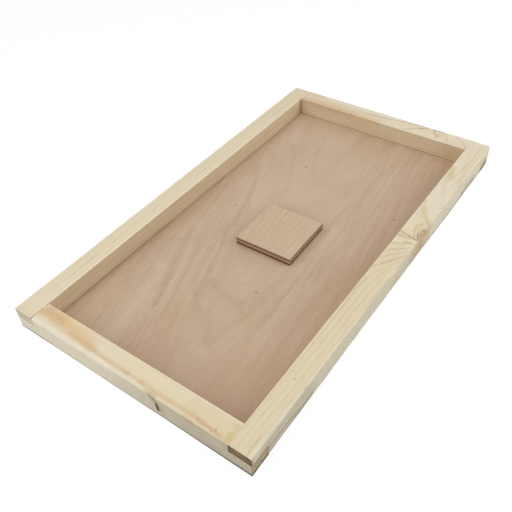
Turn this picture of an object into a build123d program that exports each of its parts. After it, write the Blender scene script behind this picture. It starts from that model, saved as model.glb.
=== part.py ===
from build123d import *
import os

# Hive inner cover: a half-lapped softwood frame, a plywood panel let into its underside,
# and a loose plywood cap over the feed hole in the middle of the panel.
# Millimetres, +Z up. The origin is the middle of the underside, +Y runs along the long rails,
# and +X points to the right-hand long rail.

# Frame of four rails
cover_length = 505.0
cover_width = 284.0
rail_height = 26.5
rail_width = 23.0
eased_edge = 0.6

# Plywood panel, and the rebate that it lies in
rebate_width = 10.0
panel_setback = 0.5
panel_side_gap = 0.4
panel_face_thickness = 1.4
panel_core_thickness = 1.7
feed_hole_diameter = 50.0

# Loose square cap: how far it laps over the edge of the feed hole, its plies and where it lies
cap_lap = 10.0
cap_face_thickness = 3.2
cap_core_thickness = 2.6
cap_offset_x = 2.5
cap_offset_y = -5.6
cap_turn = 1.2

# Nails through the corner laps, driven from below
nail_shank_diameter = 2.2
nail_head_diameter = 5.0
nail_head_thickness = 0.9
nail_point_length = 3.0
nail_top_cover = 5.0

# Staples through the edge of the panel, driven from below
staple_wire = 1.0
staple_crown = 11.0
staple_bite = 9.5
staple_corner_inset = 30.0
long_rail_staples = 5
short_rail_staples = 3

# Sizes that follow from those above
half_length = cover_length / 2
half_width = cover_width / 2
inner_half_length = half_length - rail_width
inner_half_width = half_width - rail_width
rebate_half_length = inner_half_length + rebate_width
rebate_half_width = inner_half_width + rebate_width
panel_thickness = 2 * panel_face_thickness + panel_core_thickness
panel_bottom = panel_setback
panel_top = panel_bottom + panel_thickness
lap_level = panel_top + (rail_height - panel_top) / 2
cap_side = feed_hole_diameter + 2 * cap_lap

sides = {"left": -1, "right": 1}
ends = {"front": -1, "rear": 1}


def block(low, high):
    """A box between two opposite corners, given in any order."""
    size = [abs(b - a) for a, b in zip(low, high)]
    middle = [(a + b) / 2 for a, b in zip(low, high)]
    return Pos(*middle) * Box(*size)


def eased(rail):
    """The rail with a small chamfer on each edge that lies on the outside of the frame."""
    near = eased_edge / 100

    def outside(edge):
        at = edge.center()
        on_side = abs(abs(at.X) - half_width) < near
        on_end = abs(abs(at.Y) - half_length) < near
        on_top_or_bottom = min(abs(at.Z), abs(at.Z - rail_height)) < near
        return on_side + on_end + on_top_or_bottom >= 2

    return chamfer(rail.edges().filter_by(outside), eased_edge)


rebate = block(
    (-rebate_half_width, -rebate_half_length, 0), (rebate_half_width, rebate_half_length, panel_top)
)


def long_rail(side):
    """A long rail: its upper half runs over the corner laps."""
    rail = block(
        (side * inner_half_width, -half_length, 0), (side * half_width, half_length, rail_height)
    )
    for end in ends.values():
        rail -= block(
            (side * inner_half_width, end * inner_half_length, 0),
            (side * half_width, end * half_length, lap_level),
        )
    return eased(rail - rebate)


def short_rail(end):
    """A short rail: its lower half runs under the corner laps."""
    rail = block(
        (-half_width, end * inner_half_length, 0), (half_width, end * half_length, rail_height)
    )
    for side in sides.values():
        rail -= block(
            (side * inner_half_width, end * inner_half_length, lap_level),
            (side * half_width, end * half_length, rail_height),
        )
    return eased(rail - rebate)


def panel_veneer(low, thickness):
    """One veneer of the panel, with the feed hole through its middle."""
    reach_x = rebate_half_width - panel_side_gap
    reach_y = rebate_half_length - panel_side_gap
    sheet = block((-reach_x, -reach_y, low), (reach_x, reach_y, low + thickness))
    hole = Pos(0, 0, low + thickness / 2) * Cylinder(feed_hole_diameter / 2, 2 * thickness)
    return sheet - hole


def cap_veneer(low, thickness):
    """One veneer of the loose cap, which lies a little askew on the panel."""
    reach = cap_side / 2
    sheet = block((-reach, -reach, low), (reach, reach, low + thickness))
    return Pos(cap_offset_x, cap_offset_y, panel_top) * Rot(0, 0, cap_turn) * sheet


def nail(x, y):
    """A flat-headed nail with its head flush in the underside and its point up."""
    on_base = (Align.CENTER, Align.CENTER, Align.MIN)
    shank_radius = nail_shank_diameter / 2
    tip_level = rail_height - nail_top_cover
    neck_level = tip_level - nail_point_length
    head = Cylinder(nail_head_diameter / 2, nail_head_thickness, align=on_base)
    shank = Cylinder(shank_radius, neck_level, align=on_base)
    point = Pos(0, 0, neck_level) * Cone(shank_radius, 0, nail_point_length, align=on_base)
    return Pos(x, y, 0) * (head + shank + point)


def corner_nails(side, end):
    """The two nails of one corner, each in the solid wood outside the rebate."""
    outer_x = side * (rebate_half_width + half_width) / 2
    outer_y = end * (rebate_half_length + half_length) / 2
    inner_x = side * (inner_half_width + rebate_half_width) / 2
    inner_y = end * (inner_half_length + rebate_half_length) / 2
    return [nail(outer_x, inner_y), nail(inner_x, outer_y)]


def staple(x, y, turn):
    """A staple with its crown flush in the back of the panel and its legs up into the rail."""
    reach = staple_crown / 2
    half_wire = staple_wire / 2
    leg_top = panel_top + staple_bite
    crown = block((-reach, -half_wire, panel_bottom), (reach, half_wire, panel_bottom + staple_wire))
    shape = crown
    for leg in (-1, 1):
        shape += block(
            (leg * reach, -half_wire, panel_bottom), (leg * (reach - staple_wire), half_wire, leg_top)
        )
    return Pos(x, y, 0) * Rot(0, 0, turn) * shape


def spread(count, reach):
    """Places evenly spaced from -reach to +reach, for a count taken to the nearest whole number."""
    gaps = round(count) - 1
    return [reach * (2 * i / gaps - 1) for i in range(gaps + 1)]


staple_line_x = (inner_half_width + rebate_half_width) / 2
staple_line_y = (inner_half_length + rebate_half_length) / 2
along_long_rail = spread(long_rail_staples, inner_half_length - staple_corner_inset)
along_short_rail = spread(short_rail_staples, inner_half_width - staple_corner_inset)

rails = {}
fasteners = {}
for name, side in sides.items():
    rails[f"long_rail_{name}"] = long_rail(side)
    fasteners[f"panel_staples_{name}"] = [staple(side * staple_line_x, y, 90) for y in along_long_rail]
for name, end in ends.items():
    rails[f"short_rail_{name}"] = short_rail(end)
    fasteners[f"panel_staples_{name}"] = [staple(x, end * staple_line_y, 0) for x in along_short_rail]
for end_name, end in ends.items():
    for side_name, side in sides.items():
        fasteners[f"corner_nails_{end_name}_{side_name}"] = corner_nails(side, end)

panel_core_bottom = panel_bottom + panel_face_thickness
panel = {
    "panel_back_veneer": panel_veneer(panel_bottom, panel_face_thickness),
    "panel_core_veneer": panel_veneer(panel_core_bottom, panel_core_thickness),
    "panel_face_veneer": panel_veneer(panel_core_bottom + panel_core_thickness, panel_face_thickness),
}

cap = {
    "cap_back_veneer": cap_veneer(0, cap_face_thickness),
    "cap_core_veneer": cap_veneer(cap_face_thickness, cap_core_thickness),
    "cap_face_veneer": cap_veneer(cap_face_thickness + cap_core_thickness, cap_face_thickness),
}

# Every nail and staple leaves a hole of its own shape in the wood that it was driven through
driven = [one for group in fasteners.values() for one in group]
wood = {name: shape - driven for name, shape in (rails | panel).items()}

os.makedirs("parts", exist_ok=True)
for name, shape in (wood | cap).items():
    export_step(shape, f"parts/{name}.step")
for name, group in fasteners.items():
    export_step(Compound(group), f"parts/{name}.step")

print(f"cover {cover_width} x {cover_length} x {rail_height}, panel {panel_thickness} thick")
print(f"tray {2 * inner_half_width} x {2 * inner_half_length}, {rail_height - panel_top} deep")
print(f"cap {cap_side} x {cap_side} x {2 * cap_face_thickness + cap_core_thickness}")
print(f"corner laps meet {lap_level} above the underside")
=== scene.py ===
# %% [markdown]
# # Hive inner cover
# This wooden tray lies on top of a beehive, under its roof. Four spruce rails, half-lapped at the corners,
# hold a plywood panel, and a small loose square of plywood covers the feed hole in the middle of the panel.
# The pieces arrive as plain solids of the right size. This lesson gives them what a workshop gives them:
# worn edges, saw marks, growth rings, knots and nails. The main sizes are read from the solids,
# so that nothing has to be fitted afterwards.

import itertools
import math
from functools import partial

import bpy
import numpy as np
from mathutils import Matrix, Vector


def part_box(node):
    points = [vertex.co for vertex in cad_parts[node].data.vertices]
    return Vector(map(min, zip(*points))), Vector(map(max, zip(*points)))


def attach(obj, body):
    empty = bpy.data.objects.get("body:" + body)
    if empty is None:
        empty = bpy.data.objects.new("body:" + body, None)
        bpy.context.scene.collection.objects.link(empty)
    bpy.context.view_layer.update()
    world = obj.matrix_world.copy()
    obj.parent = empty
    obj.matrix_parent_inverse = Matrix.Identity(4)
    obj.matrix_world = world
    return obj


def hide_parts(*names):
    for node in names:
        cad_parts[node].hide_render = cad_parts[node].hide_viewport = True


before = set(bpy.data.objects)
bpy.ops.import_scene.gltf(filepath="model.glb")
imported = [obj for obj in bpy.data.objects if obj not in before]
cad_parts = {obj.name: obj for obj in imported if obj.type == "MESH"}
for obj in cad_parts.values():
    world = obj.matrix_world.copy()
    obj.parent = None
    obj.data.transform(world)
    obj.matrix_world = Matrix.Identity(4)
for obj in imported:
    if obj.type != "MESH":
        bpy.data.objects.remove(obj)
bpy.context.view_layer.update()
MM = 0.001
# A point this close to a face, in millimetres, lies on it.
TOUCH = 1e-6


def solid_box(node):
    """The lowest and the highest corner of a solid, in millimetres."""
    low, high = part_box(node)
    return np.array(low) / MM, np.array(high) / MM


right_rail_low, right_rail_high = solid_box("long_rail_right")
rear_rail_low, rear_rail_high = solid_box("short_rail_rear")
panel_high = solid_box("panel_face_veneer")[1]
panel_side_gap = 0.4

half_width = right_rail_high[0]
inner_half_width = right_rail_low[0]
half_length = rear_rail_high[1]
inner_half_length = rear_rail_low[1]
rail_top = right_rail_high[2]
panel_top = panel_high[2]
lap_level = (rail_top + panel_top) / 2
rebate_half_width = panel_high[0] + panel_side_gap
rebate_half_length = panel_high[1] + panel_side_gap
print(f"cover {2 * half_width:.1f} x {2 * half_length:.1f} x {rail_top:.1f} mm")
print(f"the corner laps meet at {lap_level:.2f} mm")

# %% [markdown]
# The photograph was taken from above the front right-hand corner. A camera can be placed by hand until the
# corners fall into place, but a fit is quicker: the cover's corners are known in millimetres and in pixels,
# and that gives the camera's place, heading and lens.

# %% Camera
image_pixels = 512
focal_pixels = 623.449
sensor_mm = 36.0
camera_place = (0.29995, -0.43354, 0.47148)
camera_heading = math.radians(37.893)
camera_elevation = math.radians(43.578)
camera_roll = math.radians(-3.463)

camera = bpy.data.objects.new("studio_camera", bpy.data.cameras.new("studio_camera"))
camera.data.sensor_width = sensor_mm
camera.data.lens = sensor_mm * focal_pixels / image_pixels
turn = Matrix.Rotation(camera_heading, 4, "Z")
tilt = Matrix.Rotation(math.pi / 2 - camera_elevation, 4, "X")
roll = Matrix.Rotation(camera_roll, 4, "Z")
camera.matrix_world = Matrix.Translation(camera_place) @ turn @ tilt @ roll
bpy.context.scene.collection.objects.link(camera)
bpy.context.scene.camera = camera
print(f"lens {camera.data.lens:.1f} mm")

# %% [markdown]
# Sawn wood is never a sharp box. Its edges are eased by the plane and by handling, the ends are rough, and
# a corner may be knocked off. A bevel modifier gives every edge the same roundness, so these pieces are made
# from a lattice instead: thin cells that are wood or air, with a quad on each wall between the two.
# The lattice is fine beside every edge, so an edge can then be rounded, chipped and roughened point by point.


# %% Lattice of wood
def graded(stops, fine=0.3, coarse=2.0, share=16):
    """Places from the first stop to the last: close together beside each stop, wider apart between them."""
    places = [stops[0]]
    for low, high in zip(stops, stops[1:]):
        half = (high - low) / 2
        widest = min(coarse, (high - low) / share)
        steps = [min(fine, half)]
        while sum(steps) < half:
            steps.append(min(steps[-1] * 1.35, max(widest, fine)))
        steps = [step * half / sum(steps) for step in steps]
        for step in steps + steps[::-1]:
            places.append(places[-1] + step)
        places[-1] = high
    return np.array(places)


def lattice_shell(lines, is_wood):
    """The points and quads of a closed shell round every lattice cell that is_wood accepts."""
    middles = [(line[1:] + line[:-1]) / 2 for line in lines]
    wood = is_wood(*np.meshgrid(*middles, indexing="ij"))
    counts = [len(line) for line in lines]
    corners = np.arange(np.prod(counts)).reshape(counts)
    walls = []
    for axis in range(3):
        order = (axis, (axis + 1) % 3, (axis + 2) % 3)
        cells = np.pad(np.transpose(wood, order).astype(int), ((1, 1), (0, 0), (0, 0)))
        ids = np.transpose(corners, order)
        for way in (1, -1):
            plane, i, j = np.nonzero(cells[:-1] - cells[1:] == way)
            ring = [ids[plane, i, j], ids[plane, i + 1, j], ids[plane, i + 1, j + 1], ids[plane, i, j + 1]]
            walls.append(np.stack(ring[::way], axis=1))
    used, quads = np.unique(np.concatenate(walls), return_inverse=True)
    points = np.stack([grid.ravel() for grid in np.meshgrid(*lines, indexing="ij")], axis=1)
    return points[used], quads.reshape(-1, 4)


# %% [markdown]
# Wear is uneven. Smooth random values decide how far an edge is rounded and how deep a chip goes. They come
# from fixed seeds, so every run gives the same wood.


# %% Smooth random values and bumps
def grit(points, size, seed):
    """Smooth random values from 0 to 1 at each point, which change over about one size in millimetres."""
    count = 32
    levels = np.random.default_rng(seed).random((count, count, count))
    steps = points / np.asarray(size, float)
    whole = np.floor(steps).astype(int)
    part = steps - whole
    part = part * part * (3 - 2 * part)
    total = np.zeros(len(points))
    for corner in itertools.product((0, 1), repeat=3):
        i, j, k = ((whole + corner) % count).T
        total += levels[i, j, k] * np.prod(np.where(np.array(corner) == 1, part, 1 - part), axis=1)
    return total


def bump(places, centre, reach):
    """A smooth hump of height 1 at centre, gone at about one and a half times reach."""
    return np.exp(-(((places - centre) / reach) ** 2))


# %% Eased edges and knocked corners
def depth_below(points, face):
    """How far each point lies inside a face, which is (axis, place, way out)."""
    axis, place, out = face
    return (place - points[:, axis]) * out


def ease(points, face_a, face_b, radius, within=True):
    """Rounds over the edge where two faces meet. The radius may be a number or one for each point."""
    radius = np.broadcast_to(radius, len(points))
    reach_a = radius - depth_below(points, face_a)
    reach_b = radius - depth_below(points, face_b)
    reach = np.hypot(reach_a, reach_b)
    on_edge = (reach_a > 0) & (reach_b > 0) & (reach_a < radius + TOUCH) & (reach_b < radius + TOUCH)
    moved = on_edge & (reach > radius) & within
    for (axis, place, out), inside in ((face_a, reach_a), (face_b, reach_b)):
        arc = radius - inside * radius / np.maximum(reach, TOUCH)
        points[moved, axis] = place - out * arc[moved]


def knock(points, corner, outward, depth):
    """Flattens a corner, as a fall does, so that it ends at the given depth."""
    outward = np.array(outward) / np.linalg.norm(outward)
    over = (points - np.array(corner)) @ outward + depth
    over += 0.5 * (grit(points, 2.0, 71) - 0.5)
    points -= np.outer(np.maximum(over, 0) * 0.92, outward)


# %% Pieces from points
SHARP_ANGLE = math.radians(40)


def smooth_object(name, mesh):
    """Shades a mesh smooth up to its sharp edges, and sets it in the scene as an object."""
    mesh.shade_smooth()
    mesh.set_sharp_from_angle(angle=SHARP_ANGLE)
    piece = bpy.data.objects.new(name, mesh)
    bpy.context.scene.collection.objects.link(piece)
    return piece


def make_piece(name, points, quads, material, **attributes):
    """A smooth-shaded object from points in millimetres, with one number per point for each attribute."""
    mesh = bpy.data.meshes.new(name)
    mesh.from_pydata((points * MM).tolist(), [], quads.tolist())
    for attribute, values in attributes.items():
        layer = mesh.attributes.new(attribute, "FLOAT", "POINT")
        layer.data.foreach_set("value", np.asarray(values, np.float32))
    mesh.materials.append(material)
    print(f"{name}: {len(quads)} quads")
    return smooth_object(name, mesh)


# %% [markdown]
# Every material is a small network of nodes. One helper adds a node, gives its inputs a value or a link,
# and returns an output to link on. Colours are written as they look on screen, in sRGB hex, and are
# turned into the linear values that the renderer works with.


# %% Helpers for materials
MATH = "ShaderNodeMath"
VECTOR = "ShaderNodeVectorMath"
NOISE = "ShaderNodeTexNoise"
# A range takes a value, the two ends of the range it has and the two of the range it gets.
RANGE = "ShaderNodeMapRange"
MIX = "ShaderNodeMix"
MIX_FACTOR, MIX_A, MIX_B, MIX_COLOR = 0, 6, 7, 2


def linear(hex_code):
    """A linear colour from an sRGB hex code."""
    parts = [int(hex_code[i : i + 2], 16) / 255 for i in (1, 3, 5)]
    return [c / 12.92 if c <= 0.04045 else ((c + 0.055) / 1.055) ** 2.4 for c in parts] + [1.0]


def fill(node, links):
    """Gives a node's inputs, by name or in their order, a value or a link."""
    for key, value in links.items() if isinstance(links, dict) else enumerate(links):
        if isinstance(value, bpy.types.NodeSocket):
            node.id_data.links.new(value, node.inputs[key])
        else:
            node.inputs[key].default_value = value


def add_node(tree, kind, links=(), operation="", out=0, **settings):
    """Adds a node with its settings and what goes into it, and returns one of its outputs."""
    node = tree.nodes.new(kind)
    if operation:
        node.operation = operation
    for setting, value in settings.items():
        setattr(node, setting, value)
    fill(node, links)
    return node.outputs[out] if node.outputs else node


def new_material(name):
    """A material, what adds a node to it, its shader, and the place of each point in millimetres."""
    material = bpy.data.materials.new(name)
    material.use_nodes = True
    add = partial(add_node, material.node_tree)
    place = add("ShaderNodeTexCoord", out="Object")
    place_mm = add(VECTOR, {0: place, "Scale": 1 / MM}, "SCALE")
    return material, add, material.node_tree.nodes["Principled BSDF"], place_mm


# %% [markdown]
# Wood is built up as a painter would do it: a ground, then coat over coat, each with its own pattern.
# The patterns are soft noise whose patches have a size in millimetres. Real fibres are far too fine to show
# from here, so they are drawn as streaks about 22 mm long and 1 mm wide.


# %% Patterns of a real size, and coats
def patches(add, place, cell, detail, levels=(), seed=0, out=0, roughness=0.5):
    """Noise with patches of about one cell, in millimetres. Levels: the range it has and the one it gets."""
    cells = add(VECTOR, [place, cell], "DIVIDE")
    links = {"Vector": cells, "Scale": 1.0, "Detail": detail, "Roughness": roughness}
    if seed:
        noise = add(NOISE, {**links, "W": seed}, out=out, noise_dimensions="4D")
    else:
        noise = add(NOISE, links, out=out)
    return add(RANGE, [noise, *levels]) if levels else noise


def lay_coats(add, colour, *coats):
    """Lays coats over a colour. Each is its share, its tone (a hex code or an output) and how it blends."""
    for share, tone, blend in coats:
        layers = {MIX_FACTOR: share, MIX_A: colour, MIX_B: tone}
        links = {key: linear(value) if isinstance(value, str) else value for key, value in layers.items()}
        colour = add(MIX, links, out=MIX_COLOR, data_type="RGBA", blend_type=blend)
    return colour


# %% [markdown]
# Knots, cracks and stains could be painted on a picture that is wrapped round the wood. Here they are soft
# strokes from one place to another, in millimetres on the piece, because those stay clear at any size.
# A stroke is a group of nodes: it finds the nearest point of the line and fades with the distance from it.
# A group keeps the tree short, since every stroke is then a single node.


# %% A soft stroke
def stroke_group():
    """A group that gives its strength on a line between two places and fades to 0 at its reach."""
    group = bpy.data.node_groups.new("soft_stroke", "ShaderNodeTree")
    sockets = [("Place", "Vector", "INPUT"), ("From", "Vector", "INPUT"), ("To", "Vector", "INPUT"),
               ("Reach", "Float", "INPUT"), ("Core", "Float", "INPUT"), ("Strength", "Float", "INPUT"),
               ("Mask", "Float", "OUTPUT"), ("Next place", "Vector", "OUTPUT")]
    for socket, kind, way in sockets:
        group.interface.new_socket(socket, in_out=way, socket_type=f"NodeSocket{kind}")
    add = partial(add_node, group)
    given = add("NodeGroupInput").node.outputs
    run = add(VECTOR, [given["To"], given["From"]], "SUBTRACT")
    ahead = add(VECTOR, [given["Place"], given["From"]], "SUBTRACT")
    along = add(VECTOR, [ahead, run], "DOT_PRODUCT", "Value")
    whole = add(VECTOR, [run, run], "DOT_PRODUCT", "Value")
    # A stroke may be a single dot, so its length must not be zero.
    whole = add(MATH, [whole, 1e-4], "ADD")
    share = add(MATH, [along, whole], "DIVIDE", use_clamp=True)
    nearest = add(VECTOR, {0: run, "Scale": share}, "SCALE")
    away = add(VECTOR, [ahead, nearest], "DISTANCE", "Value")
    away = add(MATH, [away, given["Reach"]], "DIVIDE")
    fade = [away, 1.0, given["Core"], 0.0, given["Strength"]]
    mask = add(RANGE, fade, interpolation_type="SMOOTHSTEP")
    # A trace of the mask, far too small to show, makes the next stroke wait for this one. Without it the
    # renderer starts every stroke at once, and a rail with sixty of them runs out of room and turns black.
    trace = (1e-9, 1e-9, 1e-9)
    later = add(VECTOR, [mask, trace, given["Place"]], "MULTIPLY_ADD")
    add("NodeGroupOutput", {"Mask": mask, "Next place": later})
    print(f"soft stroke: {len(group.nodes)} nodes")
    return group


soft_stroke = stroke_group()


# %% Strokes over a colour
def paint_strokes(add, place, colour, strokes, cell, raggedness):
    """Lays strokes (path, reach, core, tone, strength) over a colour. Their edges waver over a cell."""
    ragged = patches(add, place, cell, 3.0, out="Color")
    ragged = add(VECTOR, [ragged, (0.5, 0.5, 0.5)], "SUBTRACT")
    uneven = add(VECTOR, [ragged, (raggedness,) * 3, place], "MULTIPLY_ADD")
    # In patches of about 5 mm a stroke is worn thin.
    worn_thin = patches(add, place, (5, 5, 5), 2.0, (0.3, 0.65, 0.7, 1.0))
    for path, reach, core, tone, strength in strokes:
        mask = 0.0
        for start, stop in zip(path, path[1:] or path):
            links = [uneven, start, stop, reach, core, strength]
            stroke = add("ShaderNodeGroup", links, node_tree=soft_stroke).node
            uneven = stroke.outputs["Next place"]
            mask = add(MATH, [mask, stroke.outputs["Mask"]], "MAXIMUM")
        mask = add(MATH, [mask, worn_thin], "MULTIPLY")
        colour = lay_coats(add, colour, (mask, tone, "MIX"))
    return colour


def flat_on(axis, level):
    """What sets a stroke on a flat face, given the axis that points out of the face and the face's level."""

    def on_face(path, reach, tone, strength, core=0.0):
        places = [tuple(np.insert(np.array(spot, float), axis, level)) for spot in path]
        return places, reach, core, tone, strength

    return on_face


# %% [markdown]
# Planed spruce: pale cream early wood with thin tan lines of late wood, one pair for each year. A flat
# picture of grain would not meet at the edges, so the rings are worked out in the round. Each rail is cut
# from a log whose pith lies beside it; the distance from the pith, divided by the width of a year's growth,
# says which ring a point lies in. The same numbers then give long lines on the faces and arcs on the ends.


# %% Rings of a log
def log_rings(add, bent, pith, ring_width, unevenness):
    """Ring numbers from the distance to the pith. Some years grew more than others."""
    from_pith = add(VECTOR, [bent, (0, *pith)], "SUBTRACT")
    flat = add(VECTOR, [from_pith, (0, 1, 1)], "MULTIPLY")
    radius = add(VECTOR, [flat], "LENGTH", "Value")
    rings = add(MATH, [radius, ring_width], "DIVIDE")
    year = add(NOISE, {"W": rings, "Scale": 0.45, "Detail": 1.0}, noise_dimensions="1D")
    return add(MATH, [year, unevenness, rings], "MULTIPLY_ADD")


# %% [markdown]
# Beside a knot the lines turn towards its eye, so there the ring is read from the angle round the eye.
# A curve says which ring comes at which angle. Ahead of the knot the lines run on at an even spacing.


# %% Rings round a knot
def knot_rings(add, bent, eye, spacing, fan):
    """Ring numbers, and how clearly they show. The fan says how many rings come before each angle."""
    axes = add("ShaderNodeSeparateXYZ", [bent]).node.outputs
    ahead = add(MATH, [eye[0], axes["X"]], "SUBTRACT")
    inward = add(MATH, [eye[1], axes["Y"]], "SUBTRACT")
    below = add(MATH, [rail_top, axes["Z"]], "SUBTRACT")
    # The grain slopes: a millimetre lower down, a ring lies half a millimetre farther out.
    slope = 0.5
    inward = add(MATH, [below, slope, inward], "MULTIPLY_ADD")
    angle = add(MATH, [inward, ahead], "ARCTAN2")
    share = add(MATH, [angle, math.pi], "DIVIDE")
    curve = add("ShaderNodeFloatCurve", {"Value": share}).node
    last_ring = fan[-1][1]
    route = curve.mapping.curves[0].points
    spots = [(turned / math.pi, ring / last_ring) for turned, ring in fan]
    route[0].location, route[1].location = spots[0], spots[-1]
    for spot in spots[1:-1]:
        route.new(*spot)
    curve.mapping.update()
    fanned = add(MATH, [curve.outputs[0], last_ring], "MULTIPLY")

    # The straight lines lean outwards by about 15 mm in a metre.
    lean, first_line = 0.0155, 0.85
    from_edge = add(MATH, [inward, eye[1] - half_width], "SUBTRACT")
    straight = add(MATH, [axes["X"], lean, from_edge], "MULTIPLY_ADD")
    straight = add(MATH, [straight, spacing], "DIVIDE")
    straight = add(MATH, [straight, first_line], "ADD")
    rings = add(RANGE, [angle, 0.25, 0.6, straight, fanned], interpolation_type="SMOOTHSTEP")
    clear = add(RANGE, [angle, 0.12, 0.5, 0.4, 1.0])
    behind = add(RANGE, [angle, 1.8, 2.5, 1.0, 0.5])
    return rings, add(MATH, [clear, behind], "MULTIPLY")


# %% Late wood
def late_wood(add, log, rings, clear, contrast, seed):
    """The share of late wood. It grows slowly within a year, and the next spring's wood is pale at once."""
    season = add(MATH, [rings, 0.9], "ADD")
    season = add(MATH, [season], "FRACT")
    ramp = add("ShaderNodeValToRGB", {"Fac": season}).node
    for end in ramp.color_ramp.elements:
        end.color = (0.3, 0.3, 0.3, 1)
    for stop, level in ((0.2, 0.0), (0.72, 0.22), (0.9, 1.0)):
        ramp.color_ramp.elements.new(stop).color = (level, level, level, 1)
    # A line is strong in one place and faint in the next.
    faint = patches(add, log, (60, 8, 8), 2.0, (0.3, 0.7, 0.35 * contrast, contrast), seed + 7)
    faint = add(MATH, [faint, clear], "MULTIPLY")
    return add(MATH, [ramp.outputs["Color"], faint], "MULTIPLY")


# %% [markdown]
# What the wood has been through is written on its points as numbers: sawn, weathered, sheltered inside,
# rubbed by hands, cut across, or dirty. The material reads them, so a finish ends where the shape says so.


# %% Planed spruce
def spruce(name, grain, seed, pith=(0, 0), ring_width=2.0, wander=5.0, contrast=1.0, knot=None, strokes=(),
           marks=(), early="#E2D5BA", late="#CBB68C", ragged_cell=(3, 3, 3), raggedness=2.2, top_clear=1.0,
           unevenness=1.6, sawn_tone="#D8D0BB", inside_tone="#FFFAF2"):
    """Planed spruce with its grain along X or Y. Places and sizes are in millimetres."""
    material, add, shader, place = new_material(name)
    axes = add("ShaderNodeSeparateXYZ", [place]).node.outputs
    along, across = (axes["X"], axes["Y"]) if grain == "X" else (axes["Y"], axes["X"])
    log = add("ShaderNodeCombineXYZ", {"X": along, "Y": across, "Z": axes["Z"]})
    past = {}
    for kind in ("sawn", "weathered", "inside", "rubbed", "end_grain", "grime"):
        past[kind] = add("ShaderNodeAttribute", out="Fac", attribute_name=kind)

    # The grain wanders a few millimetres over the length of a hand.
    drift = patches(add, log, (150, 40, 40), 2.0, seed=seed, out="Color")
    drift = add(VECTOR, [drift, (0.5, 0.5, 0.5)], "SUBTRACT")
    bent = add(VECTOR, [drift, (0, wander, wander), log], "MULTIPLY_ADD")
    if knot:
        rings, clear = knot_rings(add, bent, *knot)
    else:
        rings = log_rings(add, bent, pith, ring_width, unevenness)
        clear = add(RANGE, [past["inside"], 0.0, 1.0, top_clear, 1.0])

    late_share = late_wood(add, log, rings, clear, contrast, seed)

    sap = patches(add, bent, (130, 9, 9), 3.0, (0.42, 0.75, 0.0, 0.35), seed + 3)
    fibres = patches(add, log, (22, 1.1, 1.1), 3.0)
    streaks = add(RANGE, [fibres, 0.25, 0.75, 0.93, 1.05])
    teeth = patches(add, log, (1.5, 8, 12), 2.0, (0.3, 0.7, 0.94, 1.05))
    pores = patches(add, place, (4.0, 4.0, 0.8), 4.0, (0.3, 0.7, 0.0, 1.0))
    cut_across = lay_coats(add, "#5E4626", (pores, "#AD956C", "MIX"))
    colour = lay_coats(
        add, early,
        # Sap tints the wood in long soft bands, and the fibres streak it finely.
        (late_share, late, "MIX"), (sap, "#DDC596", "MIX"), (1.0, streaks, "MULTIPLY"),
        # The outside was left from the saw, so it is greyer, and in part it has weathered.
        (past["sawn"], sawn_tone, "MIX"), (past["sawn"], teeth, "MULTIPLY"),
        (past["weathered"], "#A1957C", "MIX"),
        # The sheltered inside has turned to honey, and hands have rubbed the inner top edges pale.
        (past["inside"], inside_tone, "MULTIPLY"), (past["rubbed"], "#FAEDCF", "MIX"),
        # End grain drinks dirt and light, so it is much darker than the faces.
        (past["end_grain"], cut_across, "MIX"),
    )
    # Knots and stains lie over all of that, and the lower edges are dirty from the hive.
    colour = paint_strokes(add, place, colour, strokes, ragged_cell, raggedness)
    colour = paint_strokes(add, place, colour, marks, (3, 3, 3), 0.5)
    colour = lay_coats(add, colour, (past["grime"], "#3A2F24", "MIX"))

    height = add(MATH, [late_share, 0.6, fibres], "MULTIPLY_ADD")
    height = add(MATH, [pores, past["end_grain"], height], "MULTIPLY_ADD")
    normal = add("ShaderNodeBump", {"Height": height, "Strength": 0.25, "Distance": 0.15 * MM})
    fill(shader, {"Base Color": colour, "Normal": normal, "Roughness": 0.7, "IOR": 1.5,
                  "Specular IOR Level": 0.3})
    print(f"{name}: {len(material.node_tree.nodes)} nodes, {len(strokes) + len(marks)} strokes")
    return material


# %% [markdown]
# No two rails look alike. Each has its own log and its own marks, in the places where this cover has them.
# A mark is a path on one face, how far it reaches to the sides, its tone and its strength. A last number,
# where there is one, is the share of the reach that has the full strength.

# %% Faces that carry marks
rough_end_depth = 0.7
on_top = flat_on(2, rail_top)
on_front = flat_on(1, -half_length)
on_front_end = flat_on(1, -half_length + rough_end_depth)
on_right = flat_on(0, half_width)
on_left_inside = flat_on(0, -inner_half_width)
on_rear_inside = flat_on(1, inner_half_length)

# %% Left rail's wood
left_strokes = [
    on_front([(-138, 21), (-123, 21)], 9.0, "#CDC0AC", 0.6, 0.4),
    on_top([(-128, -190), (-132, -150)], 1.1, "#B0A07C", 0.4),
    on_left_inside([(229, 8), (229, 24)], 7.0, "#8C6C45", 0.4),
]
left_spruce = spruce(
    "planed spruce, left rail", "Y", 1.0, pith=(-205.0, -60.0), ring_width=2.1, strokes=left_strokes,
    early="#E4D7BC", late="#B7A071", top_clear=0.5, inside_tone="#F9F3EF"
)

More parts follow.
